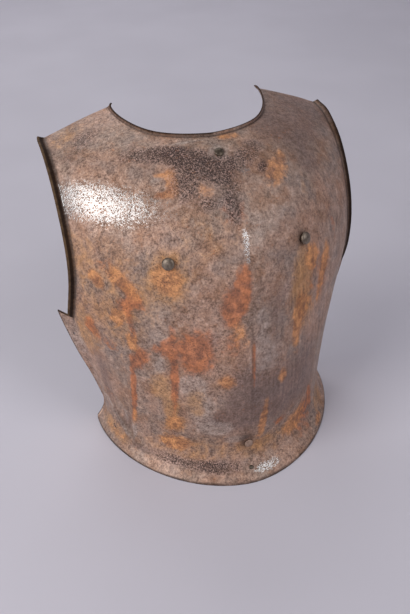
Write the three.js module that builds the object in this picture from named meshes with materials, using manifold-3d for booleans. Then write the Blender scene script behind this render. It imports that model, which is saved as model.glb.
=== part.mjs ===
/**
 * Steel breastplate: one sheet of steel, raised over a soft medial ridge, cut away for the neck and
 * the arms and flared at the waist, with two chest studs and three rivets on it.
 *
 * Millimetres. +Z is up, -Y is the wearer's front and +X the wearer's left. The plate stands on its
 * waist flange, on the plane z = 0, and is mirror-symmetric about the plane x = 0. The dimensions
 * below are measured from an axis near the wearer's back; the finished part is moved forward so that
 * the origin lies under its middle.
 */
import * as THREE from 'three';
import { mergeVertices } from 'three/addons/utils/BufferGeometryUtils.js';
import Module from 'manifold-3d';

const manifold = await Module();
manifold.setup();

// ---------------------------------------------------------------------------------------------
// Driving dimensions
// ---------------------------------------------------------------------------------------------

const PLATE_THICKNESS = 2;

// The shell is lofted through sections that run from the medial ridge round to the side. The first
// is the waist fold and the last the shoulder line, which is carried across the neck opening.
// `wrap` is how far a section bends (degrees) and `ease` how softly it rounds the ridge.
const SECTIONS = [
  { ridgeY: -212, ridgeZ: 26, sideX: 160, sideY: -56, sideZ: 19, wrap: 96, ease: 0.9 },
  { ridgeY: -219, ridgeZ: 116, sideX: 171, sideY: -62, sideZ: 82, wrap: 84, ease: 0.83 },
  { ridgeY: -208, ridgeZ: 229, sideX: 186, sideY: -67, sideZ: 156, wrap: 77, ease: 0.77 },
  { ridgeY: -189, ridgeZ: 308, sideX: 199, sideY: -63, sideZ: 236, wrap: 80, ease: 0.76 },
  { ridgeY: -145, ridgeZ: 371, sideX: 207, sideY: -45, sideZ: 300, wrap: 80, ease: 0.83 },
  { ridgeY: -88, ridgeZ: 410, sideX: 205, sideY: -18, sideZ: 358, wrap: 72, ease: 0.91 },
  { ridgeY: -38, ridgeZ: 425, sideX: 197, sideY: 12, sideZ: 390, wrap: 51, ease: 0.92 },
  { ridgeY: 42, ridgeZ: 448, sideX: 185, sideY: 40, sideZ: 400, wrap: 12, ease: 0.75 },
];
const TOP = SECTIONS.length - 1;

// Neck opening: a superellipse on the shell, from its lowest point on the ridge to its corner on
// the shoulder line.
const NECK = { bottomUp: 5.485, cornerAcross: 0.55, roundness: 1.55 };

// Arm opening: it bites this share of a section's width, deepest low down, above the armpit corner.
const ARM = { cornerUp: 2.455, bite: 0.238, skew: 0.645, roundness: 1.38 };

// Waist flange: the rim's outline on the ground, and its edge.
const RIM = { halfWidth: 177, depth: 186, backY: -63, roundness: 1.84 };
const RIM_EDGE = 2;
const RIM_FOOT = 3.6;
const RIM_OVERRUN = 2.5;

// The sheet is turned out along its free edges: `out` is how far the lip reaches past the crease,
// `lift` how far it stands off the shell and `rise` how far it leans along the edge.
// The neck's lip spreads into a short horn at each shoulder, and the side's into an ear at the armpit.
const ARM_LIP = { out: 7, lift: 4.5, rise: 0 };
const NECK_LIP = { out: 1.6, lift: 3, rise: 0 };
const NECK_HORN = { out: 4, lift: 4, rise: -3, taper: 9 };
const SIDE_LIP = { out: 2.2, lift: 1.6, rise: 0 };
const EAR_NOTCH = 0.03;
const ARMPIT_EAR = { out: 18.5, lift: 9, rise: 12, taper: 0.85 };

// Mesh of the sheet: columns to each side of the ridge, and rows.
const NECK_COLUMNS = 12;
const SHOULDER_COLUMNS = 12;
const LIP_COLUMNS = 2;
const LIP_CURL = 1.2;
const FLANGE_ROWS = 3;
const FOLD_ROWS = 5;
const SIDE_ROWS = 11;
const ARM_ROWS = 22;

// The waist fold's fillet takes this share of the flange, and this much of the first section.
const FOLD_ON_FLANGE = 0.6;
const FOLD_ON_BODY = 0.32;

// Rivets and studs: their place on the sheet, and their own sizes. A stud's head stands off the
// plate on its neck.
const FASTENERS = [
  { name: 'neck_rivet', across: -0.006, up: 4.95, head: 11.6, dome: 3.2, neck: 4.5, standOff: 0.3 },
  { name: 'chest_stud_right', across: -0.31, up: 3.27, head: 15.2, dome: 4.4, neck: 7, standOff: 3 },
  { name: 'chest_stud_left', across: 0.297, up: 3.27, head: 15.2, dome: 4.4, neck: 7, standOff: 3 },
  { name: 'waist_rivet', across: 0, up: 0.1, head: 11.6, dome: 1.6, neck: 4.5, standOff: 0.7 },
  { name: 'flange_rivet', across: -0.01, up: -0.57, head: 6, dome: 1.8, neck: 3, standOff: 0.3 },
];
const SHANK_CLEARANCE = 0.3;
const CLINCH = { overlap: 2, height: 1.2, gap: 0.7 };
const FASTENER_SIDES = 16;

// Small hole in each armpit ear, this many rows below its tip and halfway out.
const EAR_HOLE = { diameter: 4, rowsBelow: 2 };

// ---------------------------------------------------------------------------------------------
// The shell's surface
// ---------------------------------------------------------------------------------------------

const spline = (toPoint) =>
  new THREE.CatmullRomCurve3(SECTIONS.map(toPoint), false, 'catmullrom', 0.5);

const ridgeLine = spline((s) => new THREE.Vector3(0, s.ridgeY, s.ridgeZ));
const sideLine = spline((s) => new THREE.Vector3(s.sideX, s.sideY, s.sideZ));
const bowLine = spline((s) => new THREE.Vector3(THREE.MathUtils.degToRad(s.wrap), s.ease, 0));

/** Point on the untrimmed shell: across 0 is the ridge and 1 the side, up counts the sections. */
function shellPoint(across, up) {
  const along = up / TOP;
  const ridge = ridgeLine.getPoint(along);
  const side = sideLine.getPoint(along);
  const { x: wrap, y: ease } = bowLine.getPoint(along);
  const turn = wrap * Math.abs(across);
  const width = Math.sin(turn) / Math.sin(wrap);
  const depth = ((1 - Math.cos(turn)) / (1 - Math.cos(wrap))) ** ease;
  return new THREE.Vector3(
    Math.sign(across) * side.x * width,
    THREE.MathUtils.lerp(ridge.y, side.y, depth),
    THREE.MathUtils.lerp(ridge.z, side.z, depth),
  );
}

/** Point on the rim's outline, from the front (0) round to the side (1), on the ground. */
function rimPoint(across) {
  const angle = (Math.PI / 2) * Math.abs(across);
  const power = 2 / RIM.roundness;
  return new THREE.Vector3(
    Math.sign(across) * RIM.halfWidth * Math.sin(angle) ** power,
    RIM.backY - RIM.depth * Math.cos(angle) ** power,
    RIM_EDGE,
  );
}

/** Point on the waist flange, from the fold (down 0) to the rim (down 1). */
function flangePoint(across, down) {
  return shellPoint(across, 0).lerp(rimPoint(across), down);
}

/** Point on the whole sheet: up -1 is the rim, 0 the waist fold under its fillet, then the body. */
function sheetPoint(across, up) {
  if (up >= FOLD_ON_BODY) {
    return shellPoint(across, up);
  }
  if (up <= -FOLD_ON_FLANGE) {
    return flangePoint(across, -up);
  }
  const fillet = new THREE.QuadraticBezierCurve3(
    flangePoint(across, FOLD_ON_FLANGE),
    shellPoint(across, 0),
    shellPoint(across, FOLD_ON_BODY),
  );
  return fillet.getPoint((up + FOLD_ON_FLANGE) / (FOLD_ON_BODY + FOLD_ON_FLANGE));
}

/** Share of a section's width that is left beside the arm opening. */
function armEdge(up) {
  const rise = THREE.MathUtils.clamp((up - ARM.cornerUp) / (TOP - ARM.cornerUp), 0, 1);
  return 1 - ARM.bite * Math.sin(Math.PI * rise ** ARM.skew) ** ARM.roundness;
}

// ---------------------------------------------------------------------------------------------
// The trimmed sheet, for the wearer's left half
// ---------------------------------------------------------------------------------------------

const COLUMNS = NECK_COLUMNS + SHOULDER_COLUMNS;

/** Where a column ends at the top: on the neck opening, then along the shoulder line. */
function columnTop(column) {
  if (column >= NECK_COLUMNS) {
    const along = (column - NECK_COLUMNS) / SHOULDER_COLUMNS;
    return { across: THREE.MathUtils.lerp(NECK.cornerAcross, 1, along), up: TOP };
  }
  const angle = (Math.PI / 2) * (column / NECK_COLUMNS);
  const power = 2 / NECK.roundness;
  return {
    across: NECK.cornerAcross * Math.sin(angle) ** power,
    up: TOP - (TOP - NECK.bottomUp) * Math.cos(angle) ** power,
  };
}

/** Point of the body, trimmed to the openings: height 0 is the waist fold and 1 the top edge. */
function bodyPoint(column, height) {
  const top = columnTop(column);
  const up = height * top.up;
  const straight = THREE.MathUtils.lerp(column / COLUMNS, top.across, height ** 2);
  const towardsArm = Math.max(0, straight - 0.5) / 0.5;
  return shellPoint(straight - (1 - armEdge(up)) * towardsArm ** 2, up);
}

/** Rows of one column, from the rim's underside up to the column's top edge. */
function columnPoints(column) {
  const across = column / COLUMNS;
  const earHeight = ARM.cornerUp / TOP;
  const foldHeight = FOLD_ON_BODY / TOP;
  const points = [rimPoint(across).setZ(0)];
  for (let row = 0; row <= FLANGE_ROWS; row += 1) {
    points.push(sheetPoint(across, THREE.MathUtils.lerp(-1, -FOLD_ON_FLANGE, row / FLANGE_ROWS)));
  }
  for (let row = 1; row <= FOLD_ROWS; row += 1) {
    const up = THREE.MathUtils.lerp(-FOLD_ON_FLANGE, FOLD_ON_BODY, row / FOLD_ROWS);
    points.push(sheetPoint(across, up));
  }
  for (let row = 1; row <= SIDE_ROWS; row += 1) {
    points.push(bodyPoint(column, THREE.MathUtils.lerp(foldHeight, earHeight, row / SIDE_ROWS)));
  }
  const notchHeight = (ARM.cornerUp + EAR_NOTCH) / TOP;
  for (let row = 0; row < ARM_ROWS; row += 1) {
    points.push(bodyPoint(column, THREE.MathUtils.lerp(notchHeight, 1, row / (ARM_ROWS - 1))));
  }
  return points;
}

const BODY_ROW = 1 + FLANGE_ROWS + FOLD_ROWS;
const EAR_ROW = BODY_ROW + SIDE_ROWS;
const TOP_ROW = EAR_ROW + ARM_ROWS;

/** Directions at an edge point: along the edge, away from the sheet, and square off its front. */
function edgeFrame(inner, edge, along) {
  const tangent = along.clone().normalize();
  const away = edge.clone().sub(inner);
  const out = away.addScaledVector(tangent, -away.dot(tangent)).normalize();
  const normal = out.clone().cross(tangent);
  return { tangent, out, normal };
}

/** A lip that grows from one size to another; with a taper above 1 it starts slowly. */
function growingLip(from, to, along) {
  const share = Math.max(0, along) ** to.taper;
  return {
    out: THREE.MathUtils.lerp(from.out, to.out, share),
    lift: THREE.MathUtils.lerp(from.lift, to.lift, share),
    rise: THREE.MathUtils.lerp(from.rise, to.rise, share),
  };
}

/** The side's lip at a row: the armpit's ear tapers down into the waist. */
function sideLip(row) {
  return row > EAR_ROW ? ARM_LIP : growingLip(SIDE_LIP, ARMPIT_EAR, (row - BODY_ROW) / SIDE_ROWS);
}

/** Point on a turned-out lip, from the crease (share 0) to its free edge (share 1). */
function lipPoint(edge, frame, lip, share) {
  return edge
    .clone()
    .addScaledVector(frame.out, lip.out * share)
    .addScaledVector(frame.tangent, lip.rise * share)
    .addScaledVector(frame.normal, lip.lift * share ** LIP_CURL);
}

/** Columns 0 (ridge) to COLUMNS (crease of the side), then the lip's. */
function halfSheet() {
  const columns = [];
  for (let column = 0; column <= COLUMNS; column += 1) {
    columns.push(columnPoints(column));
  }
  const crease = columns[COLUMNS];
  const inner = columns[COLUMNS - 1];
  for (let step = 1; step <= LIP_COLUMNS; step += 1) {
    const share = step / LIP_COLUMNS;
    columns.push(
      crease.map((edge, row) => {
        if (row <= 1) {
          return edge.clone().add(new THREE.Vector3(0, RIM_OVERRUN * share, 0));
        }
        // The crease turns a corner at the ear, so the rows on each side look along their own edge.
        const next = row < TOP_ROW && row !== EAR_ROW ? crease[row + 1] : edge;
        const previous = row !== EAR_ROW + 1 ? crease[row - 1] : edge;
        const frame = edgeFrame(inner[row], edge, next.clone().sub(previous));
        return lipPoint(edge, frame, sideLip(row), share);
      }),
    );
  }
  return columns;
}

/** The neck's lip for each column from the ridge to the neck's corner, crease left out. */
function neckLipColumns(half) {
  const columns = [];
  for (let column = 0; column <= NECK_COLUMNS; column += 1) {
    const edge = half[column][TOP_ROW];
    const below = half[column][TOP_ROW - 1];
    const inner = half[Math.max(column - 1, 0)][TOP_ROW];
    const outer = half[Math.min(column + 1, NECK_COLUMNS)][TOP_ROW];
    const along = column === 0 ? new THREE.Vector3(-1, 0, 0) : inner.clone().sub(outer);
    const frame = edgeFrame(below, edge, along);
    const lip = growingLip(NECK_LIP, NECK_HORN, column / NECK_COLUMNS);
    const steps = Array.from({ length: LIP_COLUMNS }, (_, step) => (step + 1) / LIP_COLUMNS);
    columns.push(steps.map((share) => lipPoint(edge, frame, lip, share)));
  }
  return columns;
}

// ---------------------------------------------------------------------------------------------
// From sheet to solid
// ---------------------------------------------------------------------------------------------

/** The whole outer surface: both halves of the sheet and the lip round the neck. */
function outerSurface(half) {
  const last = half.length - 1;
  const points = [];
  const triangles = [];
  const vertexAt = new Map();

  const addPoint = (key, point) => {
    if (!vertexAt.has(key)) {
      vertexAt.set(key, points.length);
      points.push(point);
    }
  };
  const addQuad = (column, row) => {
    const corners = [[0, 0], [1, 0], [1, 1], [0, 1]];
    const [a, b, c, d] = corners.map(([i, j]) => vertexAt.get(`${column + i},${row + j}`));
    if (points[a].distanceTo(points[c]) < points[b].distanceTo(points[d])) {
      triangles.push([a, b, c], [a, c, d]);
    } else {
      triangles.push([a, b, d], [b, c, d]);
    }
  };
  const mirrored = (point, column) =>
    new THREE.Vector3(Math.sign(column || 1) * point.x, point.y, point.z);

  for (let column = -last; column <= last; column += 1) {
    half[Math.abs(column)].forEach((point, row) => {
      addPoint(`${column},${row}`, mirrored(point, column));
    });
  }
  for (let column = -last; column < last; column += 1) {
    for (let row = 0; row < TOP_ROW; row += 1) {
      addQuad(column, row);
    }
  }

  // The neck's lip goes on above the top row.
  const neckLip = neckLipColumns(half);
  for (let column = -NECK_COLUMNS; column <= NECK_COLUMNS; column += 1) {
    neckLip[Math.abs(column)].forEach((point, step) => {
      addPoint(`${column},${TOP_ROW + 1 + step}`, mirrored(point, column));
    });
  }
  for (let column = -NECK_COLUMNS; column < NECK_COLUMNS; column += 1) {
    for (let row = TOP_ROW; row < TOP_ROW + LIP_COLUMNS; row += 1) {
      addQuad(column, row);
    }
  }
  return { points, triangles, vertexAt, last };
}

/** Area-weighted unit normals of an indexed surface. */
function vertexNormals(points, triangles) {
  const normals = points.map(() => new THREE.Vector3());
  for (const [a, b, c] of triangles) {
    const edgeB = points[b].clone().sub(points[a]);
    const edgeC = points[c].clone().sub(points[a]);
    const area = edgeB.cross(edgeC);
    [a, b, c].forEach((vertex) => normals[vertex].add(area));
  }
  return normals.map((normal) => normal.normalize());
}

/** Triangles that join a surface's free edges to its copy's. */
function edgeBand(triangles, offset) {
  const directed = new Set(triangles.flatMap(([a, b, c]) => [`${a}>${b}`, `${b}>${c}`, `${c}>${a}`]));
  const band = [];
  for (const [a, b, c] of triangles) {
    for (const [from, to] of [[a, b], [b, c], [c, a]]) {
      if (!directed.has(`${to}>${from}`)) {
        band.push([to, from, from + offset], [to, from + offset, to + offset]);
      }
    }
  }
  return band;
}

/** The plate as one closed solid: the outer surface, its inward offset and the band between. */
function plateGeometry(half) {
  const { points, triangles, vertexAt, last } = outerSurface(half);
  const normals = vertexNormals(points, triangles);
  const inner = points.map((point, i) => point.clone().addScaledVector(normals[i], -PLATE_THICKNESS));

  // The rim stands on a flat foot: its lowest inner points lie on the ground, inside the outline.
  for (let column = -last; column <= last; column += 1) {
    const [foot, top, above] = [0, 1, 2].map((row) => vertexAt.get(`${column},${row}`));
    const inward = inner[above].clone().sub(points[top]).setZ(0).normalize();
    inner[foot] = points[foot].clone().addScaledVector(inward, RIM_FOOT);
    inner[top] = inner[foot].clone().lerp(inner[above], 0.4);
  }

  const count = points.length;
  const flipped = triangles.map(([a, b, c]) => [a + count, c + count, b + count]);
  const faces = [...triangles, ...flipped, ...edgeBand(triangles, count)];
  const geometry = new THREE.BufferGeometry();
  const positions = [...points, ...inner].flatMap((point) => point.toArray());
  geometry.setAttribute('position', new THREE.Float32BufferAttribute(positions, 3));
  geometry.setIndex(faces.flat());
  return geometry;
}

// ---------------------------------------------------------------------------------------------
// Booleans
// ---------------------------------------------------------------------------------------------

/** A three.js geometry as a manifold solid. */
function toSolid(geometry) {
  const bare = geometry.clone();
  bare.deleteAttribute('normal');
  bare.deleteAttribute('uv');
  const welded = mergeVertices(bare, 1e-4);
  return new manifold.Manifold(
    new manifold.Mesh({
      numProp: 3,
      vertProperties: new Float32Array(welded.attributes.position.array),
      triVerts: new Uint32Array(welded.index.array),
    }),
  );
}

/** A manifold solid as a three.js geometry. */
function toGeometry(solid) {
  const mesh = solid.getMesh();
  const geometry = new THREE.BufferGeometry();
  geometry.setAttribute('position', new THREE.BufferAttribute(mesh.vertProperties, 3));
  geometry.setIndex(new THREE.BufferAttribute(mesh.triVerts, 1));
  geometry.computeVertexNormals();
  return geometry;
}

/** Matrix that puts local +Z along a direction at a point. */
function standingOn(point, direction) {
  const turn = new THREE.Quaternion().setFromUnitVectors(new THREE.Vector3(0, 0, 1), direction);
  return new THREE.Matrix4().compose(point, turn, new THREE.Vector3(1, 1, 1));
}

/** Place of a fastener: local +Z stands off the front of the sheet. */
function placement({ across, up }) {
  const step = 1e-3;
  const sideways = sheetPoint(across + step, up).sub(sheetPoint(across - step, up));
  const upward = sheetPoint(across, up + step).sub(sheetPoint(across, up - step));
  return standingOn(sheetPoint(across, up), sideways.cross(upward).normalize());
}

/** Place of the hole in the armpit ear on one side (1 the wearer's left, -1 the right). */
function earHolePlacement(half, side) {
  const row = EAR_ROW - EAR_HOLE.rowsBelow;
  const [crease, middle, free] = [0, 1, 2].map((step) => half[COLUMNS + step]);
  const outward = free[row].clone().sub(crease[row]);
  const upward = middle[row + 1].clone().sub(middle[row - 1]);
  const mirror = new THREE.Vector3(side, 1, 1);
  return standingOn(middle[row].clone().multiply(mirror), outward.cross(upward).normalize().multiply(mirror));
}

/** A cutter for a round hole square through the plate. */
function holeCutter(place, diameter) {
  const length = 6 * PLATE_THICKNESS;
  const cutter = new THREE.CylinderGeometry(diameter / 2, diameter / 2, length, FASTENER_SIDES);
  cutter.rotateX(Math.PI / 2);
  cutter.applyMatrix4(place);
  return toSolid(cutter);
}

// ---------------------------------------------------------------------------------------------
// Fasteners
// ---------------------------------------------------------------------------------------------

/** A rivet or stud, turned about its axis: domed head, neck and shank, and the clinch inside. */
function fastenerGeometry({ head, dome, neck, standOff }) {
  const headRadius = head / 2;
  const neckRadius = neck / 2;
  const clinchRadius = neckRadius + CLINCH.overlap;
  const clinchTop = -PLATE_THICKNESS - CLINCH.gap;
  const lip = Math.min(1, dome / 3);
  const profile = [
    new THREE.Vector2(0, clinchTop - CLINCH.height),
    new THREE.Vector2(clinchRadius, clinchTop - CLINCH.height),
    new THREE.Vector2(clinchRadius, clinchTop),
    new THREE.Vector2(neckRadius, clinchTop),
    new THREE.Vector2(neckRadius, standOff),
    new THREE.Vector2(headRadius, standOff),
  ];
  const arcSteps = 4;
  for (let step = 0; step <= arcSteps; step += 1) {
    const angle = (Math.PI / 2) * (step / arcSteps);
    profile.push(
      new THREE.Vector2(headRadius * Math.cos(angle), standOff + lip + (dome - lip) * Math.sin(angle)),
    );
  }
  profile.at(-1).x = 0;
  const geometry = new THREE.LatheGeometry(profile, FASTENER_SIDES);
  geometry.rotateX(Math.PI / 2);
  return toGeometry(toSolid(geometry));
}

// ---------------------------------------------------------------------------------------------
// The scene
// ---------------------------------------------------------------------------------------------

const rustySteel = new THREE.MeshStandardMaterial({ color: 0x8a7468, roughness: 0.55, metalness: 0.75 });
const darkIron = new THREE.MeshStandardMaterial({ color: 0x4f4d48, roughness: 0.45, metalness: 0.85 });

function makePlate() {
  const half = halfSheet();
  const cutters = [
    ...FASTENERS.map((fastener) => holeCutter(placement(fastener), fastener.neck + 2 * SHANK_CLEARANCE)),
    ...[-1, 1].map((side) => holeCutter(earHolePlacement(half, side), EAR_HOLE.diameter)),
  ];
  const plate = toSolid(plateGeometry(half));
  const solid = cutters.reduce((body, cutter) => body.subtract(cutter), plate);
  const mesh = new THREE.Mesh(toGeometry(solid), rustySteel);
  mesh.name = 'plate';
  return mesh;
}

function makeFastener(fastener) {
  const mesh = new THREE.Mesh(fastenerGeometry(fastener), darkIron.clone());
  mesh.name = fastener.name;
  placement(fastener).decompose(mesh.position, mesh.quaternion, mesh.scale);
  return mesh;
}

const breastplate = new THREE.Group();
breastplate.name = 'breastplate';
breastplate.add(makePlate(), ...FASTENERS.map(makeFastener));

// The origin is on the ground, under the middle of the part's depth.
const middle = new THREE.Box3().setFromObject(breastplate).getCenter(new THREE.Vector3());
breastplate.position.y = -middle.y;

export default breastplate;
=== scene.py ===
"""Steel breastplate: its finish, camera and light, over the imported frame."""
import math
from types import SimpleNamespace

import bpy
import numpy as np
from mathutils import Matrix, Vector, noise


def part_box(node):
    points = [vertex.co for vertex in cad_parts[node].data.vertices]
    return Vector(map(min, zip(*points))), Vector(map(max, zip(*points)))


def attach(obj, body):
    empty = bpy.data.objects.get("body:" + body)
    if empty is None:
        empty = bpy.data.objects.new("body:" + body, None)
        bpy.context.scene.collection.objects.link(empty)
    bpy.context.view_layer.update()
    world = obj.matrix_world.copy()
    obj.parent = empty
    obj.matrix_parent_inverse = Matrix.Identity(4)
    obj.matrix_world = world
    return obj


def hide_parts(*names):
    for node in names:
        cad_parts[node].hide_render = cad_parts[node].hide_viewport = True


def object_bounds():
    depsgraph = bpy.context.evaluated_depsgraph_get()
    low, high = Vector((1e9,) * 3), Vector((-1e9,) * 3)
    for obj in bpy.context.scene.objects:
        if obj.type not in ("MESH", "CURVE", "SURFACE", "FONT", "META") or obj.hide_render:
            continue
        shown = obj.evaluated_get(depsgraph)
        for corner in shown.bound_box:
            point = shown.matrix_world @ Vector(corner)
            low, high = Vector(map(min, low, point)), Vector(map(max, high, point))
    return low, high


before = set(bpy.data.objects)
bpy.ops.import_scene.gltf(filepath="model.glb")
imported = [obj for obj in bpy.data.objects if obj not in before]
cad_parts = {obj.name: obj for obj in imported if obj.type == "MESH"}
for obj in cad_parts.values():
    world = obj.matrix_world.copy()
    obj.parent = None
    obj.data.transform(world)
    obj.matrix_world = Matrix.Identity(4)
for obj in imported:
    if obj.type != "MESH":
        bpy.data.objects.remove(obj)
cad_low, cad_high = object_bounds()
MM = 0.001

# ---- Camera ----

CAMERA_AZIMUTH = -19.29
CAMERA_ELEVATION = 36.98
CAMERA_LENS = 40.9
SENSOR_WIDTH = 36.0
CAMERA_REACH = 50.0
CAMERA_FROM_CENTRE = Vector((-0.2676, -0.6981, 0.5372))


def add_object(name, data):
    """New object in the scene."""
    thing = bpy.data.objects.new(name, data)
    bpy.context.scene.collection.objects.link(thing)
    return thing


centre = (cad_low + cad_high) / 2
camera_data = bpy.data.cameras.new("camera")
camera_data.lens = CAMERA_LENS
camera_data.sensor_width = SENSOR_WIDTH
camera_data.clip_end = CAMERA_REACH
camera = add_object("camera", camera_data)
camera.location = centre + CAMERA_FROM_CENTRE
camera.rotation_euler = (math.radians(90 - CAMERA_ELEVATION), 0, math.radians(CAMERA_AZIMUTH))
bpy.context.scene.camera = camera

# ---- The sheet's surface, from the same named values as the solid (millimetres) ----

# Rounded from a least-squares fit to the photo's outline, with a few values then set one by one.
# Columns: ridge y, ridge z, side x, side y, side z, wrap in degrees, ease.
SECTIONS = np.array([
    (-212, 26, 160, -56, 19, 96, 0.90),
    (-219, 116, 171, -62, 82, 84, 0.83),
    (-208, 229, 186, -67, 156, 77, 0.77),
    (-189, 308, 199, -63, 236, 80, 0.76),
    (-145, 371, 207, -45, 300, 80, 0.83),
    (-88, 410, 205, -18, 358, 72, 0.91),
    (-38, 425, 197, 12, 390, 51, 0.92),
    (42, 448, 185, 40, 400, 12, 0.75),
], float)
TOP = len(SECTIONS) - 1
NECK_BOTTOM_UP, NECK_CORNER_ACROSS, NECK_ROUNDNESS = 5.485, 0.55, 1.55
ARM_CORNER_UP, ARM_BITE, ARM_SKEW, ARM_ROUNDNESS = 2.455, 0.238, 0.645, 1.38
RIM_HALF_WIDTH, RIM_DEPTH, RIM_BACK_Y, RIM_ROUNDNESS = 177, 186, -63, 1.84
RIM_EDGE, RIM_FOOT, RIM_OVERRUN = 2.0, 3.6, 2.5
# Lips: how far each reaches out, how far it stands off the sheet and how far it leans along the edge.
ARM_LIP = (7.0, 4.5, 0.0)
NECK_LIP = (1.6, 3.0, 0.0)
NECK_HORN, NECK_HORN_TAPER = (4.0, 4.0, -3.0), 9
SIDE_LIP = (2.2, 1.6, 0.0)
ARMPIT_EAR, ARMPIT_EAR_TAPER = (18.5, 9.0, 12.0), 0.85
EAR_NOTCH = 0.03
LIP_CURL = 1.2
FOLD_ON_FLANGE, FOLD_ON_BODY = 0.6, 0.32
THICKNESS = 2.0

# The mesh has this many steps for each one of the solid's.
FINER = 4
COLUMNS = 24 * FINER
NECK_COLUMNS = COLUMNS // 2
LIP_COLUMNS = 2 * FINER
FLANGE_ROWS, FOLD_ROWS, SIDE_ROWS, ARM_ROWS = 3 * FINER, 5 * FINER, 11 * FINER, 22 * FINER
BODY_ROW = 1 + FLANGE_ROWS + FOLD_ROWS
EAR_ROW = BODY_ROW + SIDE_ROWS
TOP_ROW = EAR_ROW + ARM_ROWS
# Small hole in each armpit ear, two of the solid's rows below its tip and halfway out.
EAR_HOLE_ROW = EAR_ROW - 2 * FINER
EAR_HOLE_RADIUS = 2.0


def section(up):
    """Values of the section at each height, on a uniform Catmull-Rom spline."""
    before_first = 2 * SECTIONS[:1] - SECTIONS[1:2]
    after_last = 2 * SECTIONS[-1:] - SECTIONS[-2:-1]
    table = np.vstack([before_first, SECTIONS, after_last])
    index = np.clip(np.floor(up).astype(int), 0, TOP - 1)
    t = (up - index)[..., None]
    before, start, end, after = (table[index + k] for k in range(4))
    leave, arrive = (end - before) / 2, (after - start) / 2
    square = 3 * (end - start) - 2 * leave - arrive
    cube = 2 * (start - end) + leave + arrive
    return start + leave * t + square * t**2 + cube * t**3


def shell_point(across, up):
    """Point on the untrimmed shell: across 0 is the ridge and 1 the side, up counts the sections."""
    ridge_y, ridge_z, side_x, side_y, side_z, wrap, ease = np.moveaxis(section(up), -1, 0)
    wrap = np.radians(wrap)
    turn = wrap * np.abs(across)
    width = np.sin(turn) / np.sin(wrap)
    depth = ((1 - np.cos(turn)) / (1 - np.cos(wrap))) ** ease
    y = ridge_y + (side_y - ridge_y) * depth
    z = ridge_z + (side_z - ridge_z) * depth
    return np.stack([np.sign(across) * side_x * width, y, z], -1)


def rim_point(across):
    """Point on the rim's outline, from the front (0) round to the side (1)."""
    angle = np.pi / 2 * np.abs(across)
    power = 2 / RIM_ROUNDNESS
    x = np.sign(across) * RIM_HALF_WIDTH * np.sin(angle) ** power
    y = RIM_BACK_Y - RIM_DEPTH * np.clip(np.cos(angle), 0, 1) ** power
    return np.stack([x, y, np.full(x.shape, RIM_EDGE)], -1)


def flange_point(across, down):
    """Point on the waist flange, from the fold (down 0) to the rim (down 1)."""
    fold = shell_point(across, np.zeros(across.shape))
    return fold + (rim_point(across) - fold) * down[..., None]


def sheet_point(across, up):
    """Point on the whole sheet: up -1 is the rim, 0 the waist fold under its fillet, then the body."""
    across, up = np.broadcast_arrays(np.asarray(across, float), np.asarray(up, float))
    body = shell_point(across, np.maximum(up, 0))
    flange = flange_point(across, np.clip(-up, 0, 1))
    t = np.clip((up + FOLD_ON_FLANGE) / (FOLD_ON_BODY + FOLD_ON_FLANGE), 0, 1)[..., None]
    low = flange_point(across, np.full(across.shape, FOLD_ON_FLANGE))
    corner = shell_point(across, np.zeros(across.shape))
    high = shell_point(across, np.full(across.shape, FOLD_ON_BODY))
    fillet = low * (1 - t) ** 2 + 2 * corner * t * (1 - t) + high * t**2
    below = np.where((up <= -FOLD_ON_FLANGE)[..., None], flange, fillet)
    return np.where((up >= FOLD_ON_BODY)[..., None], body, below)


def arm_edge(up):
    """Share of a section's width that is left beside the arm opening."""
    rise = np.clip((up - ARM_CORNER_UP) / (TOP - ARM_CORNER_UP), 0, 1)
    return 1 - ARM_BITE * np.sin(np.pi * rise**ARM_SKEW) ** ARM_ROUNDNESS


def column_top(share):
    """Where a column ends at the top: on the neck opening, then along the shoulder line."""
    angle = np.pi / 2 * np.clip(share / 0.5, 0, 1)
    power = 2 / NECK_ROUNDNESS
    neck_across = NECK_CORNER_ACROSS * np.sin(angle) ** power
    neck_up = TOP - (TOP - NECK_BOTTOM_UP) * np.clip(np.cos(angle), 0, 1) ** power
    along = np.clip((share - 0.5) / 0.5, 0, 1)
    shoulder_across = NECK_CORNER_ACROSS + (1 - NECK_CORNER_ACROSS) * along
    on_neck = share < 0.5
    return np.where(on_neck, neck_across, shoulder_across), np.where(on_neck, neck_up, TOP)


def grid_places():
    """(across, up) of the trimmed sheet for the wearer's left half: rows by columns."""
    share = np.linspace(0, 1, COLUMNS + 1)
    top_across, top_up = column_top(share)
    below = np.concatenate([
        [-1.0],
        np.linspace(-1, -FOLD_ON_FLANGE, FLANGE_ROWS + 1),
        np.linspace(-FOLD_ON_FLANGE, FOLD_ON_BODY, FOLD_ROWS + 1)[1:],
    ])
    ear = (ARM_CORNER_UP - FOLD_ON_BODY) / (TOP - FOLD_ON_BODY)
    notch = (ARM_CORNER_UP + EAR_NOTCH - FOLD_ON_BODY) / (TOP - FOLD_ON_BODY)
    rise = np.concatenate([np.linspace(0, ear, SIDE_ROWS + 1)[1:], np.linspace(notch, 1, ARM_ROWS)])
    up = FOLD_ON_BODY + (top_up[None] - FOLD_ON_BODY) * rise[:, None]
    height = up / top_up[None]
    straight = share[None] + (top_across - share)[None] * height**2
    towards_arm = np.maximum(0, straight - 0.5) / 0.5
    across = straight - (1 - arm_edge(up)) * towards_arm**2
    low_across = np.broadcast_to(share, (len(below), len(share)))
    low_up = np.broadcast_to(below[:, None], low_across.shape)
    return np.vstack([low_across, across]), np.vstack([low_up, up])


def unit(vectors):
    """The vectors at length 1."""
    return vectors / np.maximum(np.linalg.norm(vectors, axis=-1, keepdims=True), 1e-9)


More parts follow.
